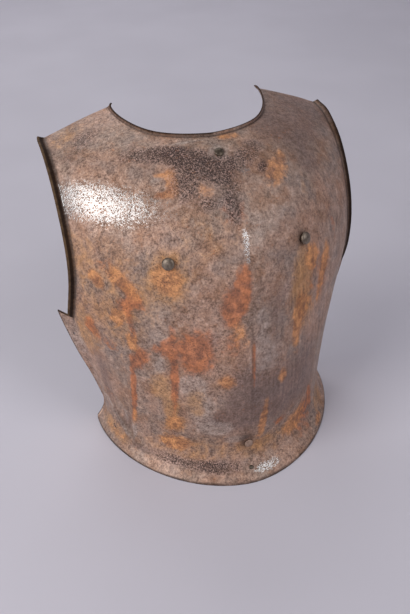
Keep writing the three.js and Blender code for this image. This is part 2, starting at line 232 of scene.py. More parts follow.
def edge_frame(inner, edge, along):
    """Directions at edge points: along the edge, away from the sheet, and square off its front."""
    tangent = unit(along)
    away = edge - inner
    out = unit(away - (away * tangent).sum(-1, keepdims=True) * tangent)
    return tangent, out, np.cross(out, tangent)


def lip_points(edge, directions, size, share):
    """Points of a turned-out lip at a share of its way from the crease (0) to its free edge (1)."""
    tangent, out, normal = directions
    reach = edge + out * (size[..., :1] * share) + tangent * (size[..., 2:] * share)
    return reach + normal * (size[..., 1:2] * share**LIP_CURL)


def growing(start, end, share):
    """A lip's size on its way from one size to another."""
    return np.array(start) + (np.array(end) - np.array(start)) * share[..., None]


def side_lip(grid):
    """Columns of the lip along the waist, the side and the arm opening, crease left out."""
    crease = grid[:, COLUMNS]
    inner = grid[:, COLUMNS - FINER]
    along = np.empty_like(crease)
    along[:EAR_ROW + 1] = np.gradient(crease[:EAR_ROW + 1], axis=0)
    along[EAR_ROW + 1:] = np.gradient(crease[EAR_ROW + 1:], axis=0)
    along[:2] = (0, 0, 1)
    directions = edge_frame(inner, crease, along)
    rows = np.arange(len(crease))
    grow = np.clip((rows - BODY_ROW) / SIDE_ROWS, 0, 1) ** ARMPIT_EAR_TAPER
    size = growing(SIDE_LIP, ARMPIT_EAR, grow)
    size[EAR_ROW + 1:] = ARM_LIP
    at_rim = np.clip((rows - 1) / FINER, 0, 1)[:, None]
    columns = []
    for step in range(1, LIP_COLUMNS + 1):
        share = step / LIP_COLUMNS
        rim = crease + np.array([0, RIM_OVERRUN * share, 0])
        lip = lip_points(crease, directions, size, share)
        columns.append(rim + (lip - rim) * at_rim)
    return np.stack(columns, 1)


def neck_lip(grid):
    """Rows of the lip round the neck, from the ridge to the neck's corner, crease left out."""
    edge = grid[TOP_ROW, :NECK_COLUMNS + 1]
    below = grid[TOP_ROW - FINER, :NECK_COLUMNS + 1]
    along = -np.gradient(edge, axis=0)
    along[0] = (-1, 0, 0)
    directions = edge_frame(below, edge, along)
    size = growing(NECK_LIP, NECK_HORN, np.linspace(0, 1, NECK_COLUMNS + 1) ** NECK_HORN_TAPER)
    steps = np.arange(1, LIP_COLUMNS + 1) / LIP_COLUMNS
    return np.stack([lip_points(edge, directions, size, share) for share in steps])


# ---- Wear, with painted shade and painted highlights, charted over the photo ----

# Columns: across, up, half width, half height, lean (across per up), strength.
PATCHES = {
    # fresh, bright rust
    "orange": [
        (0.07, 5.4, 0.06, 0.12, 0.1, 0.55),
        (-0.232, 4.5, 0.024, 0.24, 0, 1),
        (-0.275, 4.34, 0.05, 0.07, 0, 0.95),
        (-0.26, 4.7, 0.045, 0.05, 0, 0.6),
        (-0.105, 4.29, 0.03, 0.16, 0, 0.65),
        (0.215, 4.45, 0.06, 0.26, 0.1, 0.75),
        (0.285, 4.72, 0.022, 0.16, 0, 0.5),
        (-0.535, 3.08, 0.045, 0.28, -0.15, 1),
        (-0.667, 3.19, 0.035, 0.18, -0.1, 1),
        (-0.613, 2.5, 0.045, 0.16, 0, 0.95),
        (-0.573, 2.04, 0.03, 0.16, 0, 1),
        (-0.78, 2.28, 0.03, 0.08, 0, 0.7),
        (-0.33, 3.02, 0.06, 0.26, 0, 0.95),
        (-0.127, 1.39, 0.04, 0.09, 0, 0.9),
        (-0.05, 2, 0.05, 0.22, 0, 0.5),
        (-0.375, 0.15, 0.08, 0.22, 0, 1),
        (-0.385, 0.66, 0.05, 0.18, 0, 0.8),
        (-0.624, 0.6, 0.018, 0.25, 0, 0.7),
        (0.285, 1.95, 0.032, 0.38, 0, 1),
        (0.325, 2.15, 0.045, 0.24, 0, 0.8),
        (0.355, 2.93, 0.045, 0.2, 0, 1),
        (0.47, 2.65, 0.035, 0.46, 0.035, 0.95),
        (0.19, 1.27, 0.03, 0.1, 0, 0.8),
        (0.073, 0.58, 0.024, 0.38, 0.03, 0.9),
        (0.3, 0.05, 0.09, 0.34, 0.1, 0.8),
        (0.53, -0.74, 0.04, 0.2, 0, 0.8),
        (-0.78, -0.42, 0.1, 0.14, 0, 0.4),
    ],
    # older red rust
    "red": [
        (-0.505, 2.85, 0.03, 0.28, -0.1, 0.8),
        (-0.55, 2.7, 0.06, 0.14, 0, 0.8),
        (-0.552, 2.34, 0.02, 0.3, 0, 0.7),
        (-0.555, 1.74, 0.045, 0.17, 0.15, 1),
        (-0.617, 1.1, 0.018, 0.66, 0.03, 0.9),
        (-0.6, 3.45, 0.05, 0.12, 0, 0.5),
        (-0.82, 2.35, 0.05, 0.16, 0, 0.8),
        (-0.745, 2.08, 0.05, 0.22, -0.27, 0.5),
        (-0.262, 1.82, 0.085, 0.3, 0, 1),
        (-0.4, 1.9, 0.07, 0.12, 0, 0.8),
        (-0.376, 1.55, 0.02, 0.62, 0.02, 0.95),
        (-0.035, 2.7, 0.035, 0.35, 0.06, 1),
        (-0.075, 2.45, 0.06, 0.32, 0.05, 1),
        (-0.09, 1.85, 0.04, 0.15, 0, 0.5),
        (0.008, 1.6, 0.009, 0.35, 0, 0.75),
        (0.53, 3.45, 0.02, 0.3, -0.1, 0.5),
        (0.19, 0.42, 0.05, 0.08, 0, 0.6),
        (0.4, 0.15, 0.06, 0.28, 0, 0.6),
        (0.465, 0.3, 0.028, 0.34, -0.03, 1),
        (0.4, -0.2, 0.12, 0.4, 0, 0.45),
        (0.42, 2.55, 0.12, 0.5, 0, 0.4),
        (-0.02, 3.85, 0.07, 0.25, 0, 0.35),
    ],
    # thin yellow rust
    "ochre": [
        (-0.62, 2.75, 0.24, 0.9, 0, 0.6),
        (-0.9, 2.3, 0.1, 0.5, 0, 0.7),
        (-0.33, 3, 0.09, 0.4, 0, 0.8),
        (-0.448, 1.31, 0.06, 0.22, 0, 0.85),
        (-0.405, 1, 0.045, 0.22, 0, 0.95),
        (-0.385, 0.66, 0.055, 0.18, 0, 1),
        (-0.285, 1.08, 0.05, 0.25, 0, 0.8),
        (0.3, 2.6, 0.07, 0.55, 0, 1),
        (0.36, 2.1, 0.1, 0.4, 0, 0.5),
        (0.36, 4, 0.04, 0.45, 0, 0.35),
        (-0.12, 3.55, 0.22, 0.5, 0, 0.35),
        (-0.3, 0.05, 0.25, 0.4, 0, 0.55),
        (0.12, -0.05, 0.2, 0.3, 0, 0.6),
        (-0.78, 3.75, 0.16, 0.4, 0, 0.5),
        (-0.86, 6.45, 0.1, 0.45, 0, 0.35),
        (-0.8, -0.3, 0.16, 0.35, 0, 0.7),
        (-0.78, 6.3, 0.18, 0.6, 0, 0.3),
        (0.62, -0.3, 0.1, 0.5, 0, 0.6),
    ],
    # dark, pitted scale
    "dark": [
        (-0.12, 4.75, 0.28, 0.6, -0.1, 0.16),
        (0.06, 4.1, 0.14, 0.7, 0, 0.18),
        (-0.33, 5.22, 0.11, 0.2, 0, 0.65),
        (-0.22, 5.12, 0.1, 0.26, -0.2, 1),
        (-0.15, 4.92, 0.08, 0.3, -0.15, 0.9),
        (-0.1, 4.76, 0.08, 0.24, 0, 0.85),
        (-0.05, 4.6, 0.07, 0.22, 0, 0.8),
        (-0.185, 4.4, 0.06, 0.32, 0, 0.65),
        (-0.01, 4.25, 0.05, 0.35, 0, 0.55),
        (-0.11, 4.03, 0.05, 0.15, 0, 0.6),
        (-0.02, 3.85, 0.03, 0.3, 0, 0.6),
        (0.09, 4.78, 0.09, 0.28, 0.3, 0.65),
        (0.165, 4.55, 0.025, 0.12, 0.1, 0.85),
        (0.16, 5.1, 0.05, 0.14, 0, 0.6),
        (-0.42, 5.45, 0.06, 0.3, 0, 0.45),
        (-0.69, 6.2, 0.1, 0.28, 0, 0.6),
        (-0.74, 5.65, 0.08, 0.4, 0, 0.4),
        (-0.6, 6.65, 0.07, 0.3, 0, 0.4),
        (0.193, 2.54, 0.03, 0.14, 0, 0.4),
        (-0.18, 1.95, 0.03, 0.16, 0, 0.5),
        (-0.06, 1.46, 0.07, 0.14, 0, 0.45),
        (-0.22, -0.48, 0.14, 0.2, 0, 0.8),
        (-0.02, -0.5, 0.2, 0.22, 0, 0.4),
        (-0.42, -0.38, 0.1, 0.2, 0, 0.7),
        (-0.802, -0.26, 0.02, 0.08, 0, 0.95),
        (-0.382, 0.46, 0.03, 0.07, 0, 0.7),
        (0.12, -0.18, 0.05, 0.1, 0, 0.5),
    ],
    # cool violet-brown metal
    "cool": [
        (-0.02, 1.05, 0.12, 0.55, 0, 1),
        (-0.1, 0.8, 0.12, 0.16, 0, 1.2),
        (0.2, 1, 0.16, 0.45, 0, 1),
        (0.4, 1.1, 0.12, 0.6, 0, 0.8),
        (0.14, 2.2, 0.06, 0.6, 0, 0.5),
        (0.42, 5.55, 0.22, 0.7, 0, 1),
        (0.75, 6.3, 0.24, 0.9, 0, 0.8),
        (0.42, 4.6, 0.1, 0.4, 0, 0.6),
        (-0.84, 1.2, 0.06, 0.8, 0, 0.7),
        (-0.68, 0.3, 0.05, 0.35, 0, 0.7),
        (-0.6, -0.4, 0.1, 0.14, 0, 0.8),
    ],
    # rubbed, pale metal, and a few painted highlights
    "pale_and_highlight": [
        (-0.445, 1.65, 0.035, 0.12, 0, 0.9),
        (-0.295, 1.37, 0.06, 0.14, 0, 1.2),
        (-0.18, 0.6, 0.09, 0.16, 0, 1),
        (-0.07, 0.3, 0.06, 0.1, 0, 1),
        (-0.69, 0.5, 0.03, 0.25, 0, 0.6),
        (-0.006, 4.95, 0.05, 0.17, 0, 1),
        (-0.15, 5.4, 0.14, 0.06, -0.1, 0.7),
        (-0.105, 4.29, 0.03, 0.14, 0, 0.9),
        (-0.3, 4.6, 0.03, 0.1, 0, 0.6),
        (0.06, 2.05, 0.04, 0.35, 0, 0.7),
        (0.08, 1.6, 0.1, 0.25, 0, 0.6),
        (0.13, 3.7, 0.08, 0.3, 0, 0.4),
        (0.05, 3.4, 0.04, 0.4, 0, 0.45),
        (0.3, 4, 0.1, 0.6, 0, 0.35),
        (-0.42, 2.35, 0.1, 0.4, 0, 0.6),
        (-1, 2.1, 0.05, 0.45, 0, 0.7),
        # painted highlights along the fold at the wearer's right waist
        (-0.735, 0.15, 0.022, 0.4, -0.22, 1.5),
        (-0.86, 0.62, 0.02, 0.26, -0.3, 1.2),
        (-0.625, 0.15, 0.018, 0.3, 0, 1.2),
        (-0.26, 1, 0.07, 0.3, 0, 0.9),
        (-0.33, 3.02, 0.05, 0.22, 0, 0.9),
    ],
    # polished spots that glare
    "gloss": [
        (-0.59, 4.48, 0.2, 0.5, -0.42, 1),
        (0.006, 3.42, 0.014, 0.13, 0, 0.9),
        (0.002, 3.2, 0.012, 0.14, 0, 0.9),
        (0.073, 4.52, 0.022, 0.09, 0, 0.9),
        (0.085, -0.68, 0.07, 0.12, 0, 1.3),
    ],
    # metal with a fine brushed grain and little pitting
    "smooth": [
        (0.55, 4.4, 0.5, 1.6, 0, 1),
        (0.2, 1.9, 0.18, 1.2, 0, 0.7),
        (0.7, 2, 0.4, 1.8, 0, 0.9),
        (0.1, 0.9, 0.2, 0.5, 0, 0.6),
        (-0.75, 1.1, 0.14, 0.8, 0, 0.8),
    ],
    # painted shade: dark lines along the ridge, the wearer's right waist fold and the rim, crescents beside
    # a stud and round the waist rivet
    "line": [
        (0, 4.05, 0.006, 0.36, 0, 0.8),
        (0, 1.65, 0.006, 0.7, 0, 0.6),
        (-0.7, 0.1, 0.02, 0.4, -0.22, 0.8),
        (0.282, 3.28, 0.032, 0.13, 0, 1),
        (-0.014, 0.2, 0.036, 0.22, 0, 1),
        (0, -1, 4, 0.05, 0, 1),
    ],
}

# A patch fades from its middle by this factor and power of the squared distance.
PATCH_FALL, PATCH_POWER = 0.7, 1.5

# Colour layers of the plate's mesh, each with three channels, which its material reads.
# The lip and crease channels and the finish layer's third channel are painted shade; the pale channel also
# paints highlights along a fold.
WEAR_AND_SHADE_LAYERS = {
    "wear_rust": ("orange", "red", "ochre"),
    "wear_and_highlight_tone": ("dark", "cool", "pale_and_highlight"),
    "place": ("lip", "crease", "inside"),
    "finish": ("gloss", "smooth", "line"),
}

# The painted shade on the lips: the share of it on the neck's lip, on every lip at the wearer's left, along
# the sides and on every free edge, and the part of it that the left loses towards the shoulder.
NECK_LIP_SHADE, LEFT_LIP_SHADE, SIDE_SHADE, EDGE_SHADE = 0.28, 0.65, 0.3, 0.5
SHOULDER_LOSS, SHOULDER_FROM_UP, SHOULDER_OVER_UP = 0.5, 4.2, 1.6
# The painted shade of a crease: its half width in millimetres, and how many times narrower the neck's is.
CREASE_SHADE = 2.8
NECK_CREASE = 2.6
# Below the ears the side has no painted crease shade: distance is added over these rows to keep it off.
SIDE_CREASE_OFF, SIDE_CREASE_ROWS = 6, 3
# Share of the inside's look on a free edge.
EDGE_INSIDE = 0.3
# A distance at which no crease is near.
FAR = 99.0


def patch_field(kind, across, up):
    """How strongly a kind of wear covers each place, from 0."""
    bare = np.ones(across.shape)
    for at_across, at_up, half_width, half_height, lean, strength in PATCHES[kind]:
        rise = up - at_up
        aside = across - at_across - lean * rise
        distance = (aside / half_width) ** 2 + (rise / half_height) ** 2
        bare = bare * (1 - strength * np.exp(-PATCH_FALL * distance**PATCH_POWER))
    return 1 - bare


# ---- Studs and rivets: places and sizes ----

STUD = dict(head=15.2, dome=4.4, neck=7, stand_off=3, slot="dark_stud")
NECK_RIVET = dict(head=11.6, dome=3.2, neck=4.5, stand_off=0.3, slot="dark_rivet")
WAIST_RIVET = dict(head=11.6, dome=1.6, neck=4.5, stand_off=0.7, slot="rusted_rivet")
FLANGE_RIVET = dict(head=6, dome=1.8, neck=3, stand_off=0.3, slot="dark_rivet")

# Each one's place on the sheet, its sizes in millimetres and its material slot.
FASTENERS = {
    "neck_rivet": dict(across=-0.006, up=4.95, **NECK_RIVET),
    "chest_stud_right": dict(across=-0.31, up=3.27, **STUD),
    "chest_stud_left": dict(across=0.297, up=3.27, **STUD),
    "waist_rivet": dict(across=0, up=0.1, **WAIST_RIVET),
    "flange_rivet": dict(across=-0.01, up=-0.57, **FLANGE_RIVET),
}


def fastener_place(across, up):
    """Where a fastener stands on the sheet, and the sheet's direction there."""
    step = 1e-3
    sideways = sheet_point(across + step, up) - sheet_point(across - step, up)
    upward = sheet_point(across, up + step) - sheet_point(across, up - step)
    return sheet_point(across, up), unit(np.cross(sideways, upward))


# ---- Hammer marks and dents ----

# Columns: start across, start up, end across, end up, half width and height in millimetres.
DENTS = [
    (-0.9, 0.75, -0.8, 0.45, 4, 2.2),
    (-0.8, 0.45, -0.67, -0.14, 4, 3.2),
    (-0.85, 0.95, -0.75, 0.67, 5, -2.2),
    (-0.75, 0.67, -0.65, -0.02, 5, -3),
    (-0.625, 0.45, -0.62, -0.15, 3.5, 2.2),
]
STROKE_POINTS = 13

# Columns: length and height of the hammer's waves in millimetres, and their offset in the noise.
HAMMER_WAVES = [
    (46, 0.55, (0, 0, 0)),
    (17, 0.16, (9, 4, 2)),
]

# Dished metal round a rivet: depth, radius and the height of the ring raised round it, millimetres.
DISHES = {
    "neck_rivet": (0.5, 8, 0.45),
    "waist_rivet": (0.7, 7, 0.0),
}
DISH_RING_WIDTH = 2

# No mark lies on the rim or in a crease: millimetres from a side's crease to the full depth, where
# the marks start above the rim, and over how much of the flange they deepen.
MARKS_OFF_CREASE = 12
MARKS_FROM_UP, MARKS_OVER_UP = -0.95, 0.3


def dented(points):
    """Height of the dents and folds at each point, in millimetres."""
    height = np.zeros(len(points))
    share = np.linspace(0, 1, STROKE_POINTS)
    for start_across, start_up, end_across, end_up, half_width, depth in DENTS:
        stroke = sheet_point(start_across + (end_across - start_across) * share,
                             start_up + (end_up - start_up) * share)
        away = np.linalg.norm(points[:, None] - stroke[None], axis=-1).min(1)
        height += depth * np.exp(-((away / half_width) ** 2))
    return height


def hammering(points):
    """Height of the hammer's waves, the dishes round rivets and the dents, in millimetres."""
    height = np.zeros(len(points))
    for length, rise, offset in HAMMER_WAVES:
        waves = [noise.noise(Vector(point) / length + Vector(offset)) for point in points]
        height += rise * np.array(waves)
    for name, (depth, radius, ring) in DISHES.items():
        middle, _ = fastener_place(FASTENERS[name]["across"], FASTENERS[name]["up"])
        reach = np.linalg.norm(points - middle, axis=1)
        height -= depth * np.exp(-((reach / radius) ** 4))
        beyond = (reach - radius - DISH_RING_WIDTH) / DISH_RING_WIDTH
        height += ring * np.exp(-(beyond**2))
    return height + dented(points)


# ---- The plate ----

# The inside rises from the foot to the sheet's own inside; it takes this share of the rise at once.
FOOT_RISE = 0.4
# How far the rounded edge bulges past the sheet's free edge.
EDGE_BULGE = 0.8


def outward_normals(points, quads):
    """Area-weighted unit normals at the points of a surface."""
    corners = points[quads]
    area = np.cross(corners[:, 2] - corners[:, 0], corners[:, 3] - corners[:, 1])
    normals = np.zeros_like(points)
    for k in range(4):
        np.add.at(normals, quads[:, k], area)
    return unit(normals)


def mirrored(values, flip):
    """Values of the whole width from those of the wearer's left half."""
    right = np.flip(values[:, 1:], 1).copy()
    if flip == "position":
        right[..., 0] *= -1
    elif flip == "sign":
        right = -right
    return np.concatenate([right, values], 1)


def quads_of(index):
    """Quads between the rows and columns of points."""
    corners = [index[:-1, :-1], index[:-1, 1:], index[1:, 1:], index[1:, :-1]]
    return np.stack([corner.reshape(-1) for corner in corners], 1)


def body_fields(half, grid, across, up):
    """Place, lip share and distance to the crease at the half sheet's points and its side lip's."""
    lip = np.zeros(half.shape[:2])
    lip[EAR_ROW + 1:, COLUMNS + 1:] = np.arange(1, LIP_COLUMNS + 1) / LIP_COLUMNS
    lip[:EAR_ROW + 1, -1] = SIDE_SHADE
    to_side = np.linalg.norm(half - grid[:, COLUMNS][:, None], axis=-1)
    below_ear = np.clip((EAR_ROW - np.arange(EAR_ROW + 1)) / SIDE_CREASE_ROWS, 0, 1)
    to_side[:EAR_ROW + 1] += SIDE_CREASE_OFF * below_ear[:, None]
    to_neck = np.full(to_side.shape, FAR)
    neck = slice(0, NECK_COLUMNS + 1)
    to_neck[:, neck] = np.linalg.norm(grid[:, neck] - grid[TOP_ROW, neck][None], axis=-1)
    return {
        "across": np.concatenate([across, np.repeat(across[:, -1:], LIP_COLUMNS, 1)], 1),
        "up": np.concatenate([up, np.repeat(up[:, -1:], LIP_COLUMNS, 1)], 1),
        "lip": lip,
        "crease": np.minimum(to_side, to_neck * NECK_CREASE),
    }


def neck_fields(neck, grid, across, up):
    """The same at the points of the neck's lip."""
    edge = slice(0, NECK_COLUMNS + 1)
    share = np.arange(1, LIP_COLUMNS + 1)[:, None] / LIP_COLUMNS
    return {
        "across": np.broadcast_to(across[TOP_ROW, edge], neck.shape[:2]),
        "up": np.broadcast_to(up[TOP_ROW, edge], neck.shape[:2]),
        "lip": np.broadcast_to(share * NECK_LIP_SHADE, neck.shape[:2]),
        "crease": np.linalg.norm(neck - grid[TOP_ROW, edge][None], axis=-1) * NECK_CREASE,
    }


def plate_surface():
    """Outer surface: points, quads, each point's fields, and the index of rows by columns."""
    across, up = grid_places()
    grid = sheet_point(across, up)
    grid[0, :, 2] = 0
    half = np.concatenate([grid, side_lip(grid)], 1)
    neck = neck_lip(grid)
    points = np.vstack([mirrored(part, "position").reshape(-1, 3) for part in (half, neck)])
    of_body = body_fields(half, grid, across, up)
    of_neck = neck_fields(neck, grid, across, up)
    fields = {}
    for key in of_body:
        flip = "sign" if key == "across" else "same"
        both = [mirrored(part[key], flip).reshape(-1) for part in (of_body, of_neck)]
        fields[key] = np.concatenate(both)

    rows, middle = len(half), half.shape[1] - 1
    index = np.arange(rows * (2 * middle + 1)).reshape(rows, -1)
    neck_index = index.size + np.arange(LIP_COLUMNS * (2 * NECK_COLUMNS + 1)).reshape(LIP_COLUMNS, -1)
    neck_edge = index[TOP_ROW, middle - NECK_COLUMNS:middle + NECK_COLUMNS + 1]
    quads = np.vstack([quads_of(index), quads_of(np.vstack([neck_edge, neck_index]))])
    return points, quads, fields, index


def open_ear_holes(points, quads, index):
    """Draw the points round each ear's hole to a circle; the quads inside it are left out."""
    for column in (LIP_COLUMNS // 2, index.shape[1] - 1 - LIP_COLUMNS // 2):
        middle = index[EAR_HOLE_ROW, column]
        ring = index[EAR_HOLE_ROW - 1:EAR_HOLE_ROW + 2, column - 1:column + 2].reshape(-1)
        ring = ring[ring != middle]
        points[ring] = points[middle] + EAR_HOLE_RADIUS * unit(points[ring] - points[middle])
        quads = quads[(quads != middle).all(1)]
    return quads


def stand_on_foot(points, inner, index):
    """Move the inside near the rim, so that the rim has a flat foot inside the outline."""
    foot, above = index[0], index[1 + FINER]
    inward = inner[above] - points[index[1]]
    inward[:, 2] = 0
    inner[foot] = points[foot] + unit(inward) * RIM_FOOT
    for row in range(1, 1 + FINER):
        share = FOOT_RISE + (1 - FOOT_RISE) * (row - 1) / FINER
        inner[index[row]] = inner[foot] + (inner[above] - inner[foot]) * share


def edge_band(points, inner, normals, quads, foot):
    """Rounded band along the free edges: its middle points, its faces and the edges' points."""
    count = len(points)
    starts, ends = quads.reshape(-1).tolist(), np.roll(quads, -1, 1).reshape(-1).tolist()
    paired = set(zip(ends, starts))
    free = [pair for pair in zip(starts, ends) if pair not in paired]
    push = np.zeros_like(points)
    for a, b in free:
        push[[a, b]] += np.cross(points[b] - points[a], normals[a])
    edge = np.array(sorted({point for pair in free for point in pair}))
    bulge = np.where(np.isin(edge, foot), 0.0, EDGE_BULGE)
    middle = (points[edge] + inner[edge]) / 2 + unit(push[edge]) * bulge[:, None]
    middle_of = {point: 2 * count + k for k, point in enumerate(edge.tolist())}
    band = []
    for a, b in free:
        band.append((b, a, middle_of[a], middle_of[b]))
        band.append((middle_of[b], middle_of[a], a + count, b + count))
    return middle, np.array(band), edge


def wear_and_shade_layers(fields, edge, used):
    """Channels of each colour layer at the used points: the outside's, the inside's, the edges'."""
    count = len(fields["up"])

    def spread(values):
        return np.concatenate([values, values, values[edge]])[used]

    across, up, crease = (spread(fields[key]) for key in ("across", "up", "crease"))
    towards_shoulder = np.clip((fields["up"] - SHOULDER_FROM_UP) / SHOULDER_OVER_UP, 0, 1)
    on_left = LEFT_LIP_SHADE * (1 - SHOULDER_LOSS * towards_shoulder)
    lip = spread(fields["lip"] * np.where(fields["across"] > 0, on_left, 1.0))
    lip[-len(edge):] = np.maximum(lip[-len(edge):], EDGE_SHADE)
    inside = np.concatenate([np.zeros(count), np.ones(count), np.full(len(edge), EDGE_INSIDE)])
    channels = {kind: patch_field(kind, across, up) for kind in PATCHES}
    # The lip and crease channels are painted shade.
    channels["lip"] = lip
    channels["crease"] = np.exp(-((crease / CREASE_SHADE) ** 2))
    channels["inside"] = inside[used]
    return {layer: [channels[key] for key in keys] for layer, keys in WEAR_AND_SHADE_LAYERS.items()}


def plate_mesh():
    """Vertices in millimetres, faces and colour layers of the whole plate."""
    points, quads, fields, index = plate_surface()
    quads = open_ear_holes(points, quads, index)
    normals = outward_normals(points, quads)
    inland = np.clip(fields["crease"] / MARKS_OFF_CREASE, 0, 1)
    inland *= np.clip((fields["up"] - MARKS_FROM_UP) / MARKS_OVER_UP, 0, 1)
    points = points + normals * (hammering(points) * inland)[:, None]
    points[:, 0] = np.clip(points[:, 0], cad_low.x / MM, cad_high.x / MM)
    normals = outward_normals(points, quads)
    inner = points - normals * THICKNESS
    stand_on_foot(points, inner, index)
    middle, band, edge = edge_band(points, inner, normals, quads, index[0])

    vertices = np.vstack([points, inner, middle])
    faces = np.vstack([quads, quads[:, ::-1] + len(points), band])
    used = np.zeros(len(vertices), bool)
    used[faces.reshape(-1)] = True
    renumbered = (np.cumsum(used) - 1)[faces]
    return vertices[used], renumbered, wear_and_shade_layers(fields, edge, used)


def new_object(name, points, faces):
    """Smooth-shaded mesh object from points in metres."""
    mesh = bpy.data.meshes.new(name)
    mesh.from_pydata(np.asarray(points).tolist(), [], faces)
    mesh.polygons.foreach_set("use_smooth", [True] * len(mesh.polygons))
    return add_object(name, mesh)


def add_layers(mesh, layers):
    """Store the colour layers on a mesh, a value for each point."""
    for key, channels in layers.items():
        layer = mesh.attributes.new(key, "FLOAT_COLOR", "POINT")
        values = np.stack([*channels, np.ones(len(mesh.vertices))], 1)
        layer.data.foreach_set("color", values.astype(np.float32).reshape(-1))
    mesh.update()


plate_vertices, plate_faces, plate_layers = plate_mesh()
# The sheet's y starts at an axis near the wearer's back; the frame says where the plate stands.
plate_low, plate_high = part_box("plate")
middle_y = (plate_vertices[:, 1].min() + plate_vertices[:, 1].max()) / 2
to_frame = np.array([0, (plate_low.y + plate_high.y) / 2 - middle_y * MM, 0])
plate = new_object("steel_plate", plate_vertices * MM + to_frame, plate_faces.tolist())
add_layers(plate.data, plate_layers)
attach(plate, "root")
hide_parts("plate")

# ---- Studs and rivets ----

FASTENER_SIDES = 56
DOME_STEPS = 12
CLINCH_OVERLAP, CLINCH_HEIGHT, CLINCH_GAP = 2.0, 1.2, 0.7
# Bevels of the clinch, below and above, and of the head's lower edge; the rim's greatest height.
CLINCH_BEVEL, CLINCH_TOP_BEVEL, HEAD_BEVEL, HEAD_RIM = 0.4, 0.2, 0.25, 1
SHARP_ANGLE = math.radians(50)


def fastener_profile(head, dome, neck, stand_off):
    """(radius, height) from the clinch inside round to the top of the head."""
    head, neck = head / 2, neck / 2
    clinch = neck + CLINCH_OVERLAP
    top = -THICKNESS - CLINCH_GAP
    low = top - CLINCH_HEIGHT
    rim = min(HEAD_RIM, dome / 3)
    profile = [
        (0, low), (clinch - CLINCH_BEVEL, low), (clinch, low + CLINCH_BEVEL),
        (clinch, top - CLINCH_TOP_BEVEL), (clinch - CLINCH_TOP_BEVEL, top), (neck, top),
        (neck, stand_off), (head - HEAD_BEVEL, stand_off), (head, stand_off + HEAD_BEVEL * rim),
    ]
    for step in range(DOME_STEPS + 1):
        angle = math.pi / 2 * step / DOME_STEPS
        height = stand_off + rim + (dome - rim) * math.sin(angle)
        profile.append((head * math.cos(angle), height))
    return profile


def ring_points(profile, sides):
    """A ring of points about Z for each (radius, height)."""
    angles = np.linspace(0, 2 * np.pi, sides, endpoint=False)
    return [(r * math.cos(a), r * math.sin(a), z) for r, z in profile for a in angles]


def lathe(profile, sides):
    """Points and faces of a profile turned about Z; its ends lie on the axis."""
    rings = profile[1:-1]
    points = [(0, 0, profile[0][1]), *ring_points(rings, sides), (0, 0, profile[-1][1])]
    faces = []
    for side in range(sides):
        after = (side + 1) % sides
        faces.append((0, 1 + after, 1 + side))
        for ring in range(len(rings) - 1):
            low, high = 1 + ring * sides, 1 + (ring + 1) * sides
            faces.append((low + side, low + after, high + after, high + side))
        last = 1 + (len(rings) - 1) * sides
        faces.append((last + side, last + after, len(points) - 1))
    return np.array(points), faces


def make_fastener(name, across, up, slot, **sizes):
    """A stud or rivet that replaces its plain solid."""
    points, faces = lathe(fastener_profile(**sizes), FASTENER_SIDES)
    at, direction = fastener_place(across, up)
    turn = Vector((0, 0, 1)).rotation_difference(Vector(direction)).to_matrix()
    points = points @ np.array(turn).T + at
    thing = new_object("turned_" + name, points * MM + to_frame, faces)
    thing.data.set_sharp_from_angle(angle=SHARP_ANGLE)
    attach(thing, "root")
    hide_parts(name)
    return thing


fasteners = {name: make_fastener(name, **facts) for name, facts in FASTENERS.items()}

# ---- Materials ----

COLOURS = {
    "warm_metal": "ae8c79", "grey_metal": "9c8577",
    "brown_cloud": "93694b", "grey_cloud": "857873",
    "brown_mottle": "7d5d4b", "light_mottle": "b89c8b",
    # The pale colour below is rubbed metal and also a painted highlight along a fold.
    "cool": "745f59", "pale_and_highlight": "ae9f96", "ochre": "b5834f",
    "deep_red": "8a5138", "light_red": "b26c44",
    "deep_orange": "a2663f", "light_orange": "cb8d5a",
    "stain": "6b5550", "scale_gap": "b3948a", "scale": "281b1b",
    # The line colour below is painted shade.
    "freckle": "a0633a", "pit": "42322a", "line": "3a2b25", "grain": "553c30",
    # The lip colour below is painted shade on lips, free edges and creases; the worn edge colour after it
    # is wear with a painted highlight.
    "lip": "2b1e17", "worn_and_lit_edge": "806850", "inside": "5d4638", "polished": "6d6b68",
    "fastener_grit": "2e2420", "floor": "c9c6cf", "floor_cloud": "cecbd4",
}

# Where a patch's mask starts and is full, and how far the noise breaks its outline.
PATCH_EDGES = {
    "cool": (0.2, 0.9, 1.2),
    "pale_and_highlight": (0.2, 0.8, 1.2),
    "ochre": (0.2, 0.85, 1.5),
    "red": (0.15, 0.8, 1.9),
    "orange": (0.15, 0.8, 1.6),
    "dark": (0.1, 1.15, 1.1),
}

# Dark and light colour, least roughness and metallic share of each fastener's finish.
FASTENER_FINISHES = {
    "dark_stud": ("65594e", "84776a", 0.32, 0.6),
    "dark_rivet": ("4d4339", "6c6052", 0.34, 0.6),
    "rusted_rivet": ("927767", "ab9180", 0.5, 0.3),
}


def linear(code):
    """Linear colour of a hex code."""
    values = [int(code[k:k + 2], 16) / 255 for k in (0, 2, 4)]
    return tuple(v / 12.92 if v <= 0.04045 else ((v + 0.055) / 1.055) ** 2.4 for v in values)


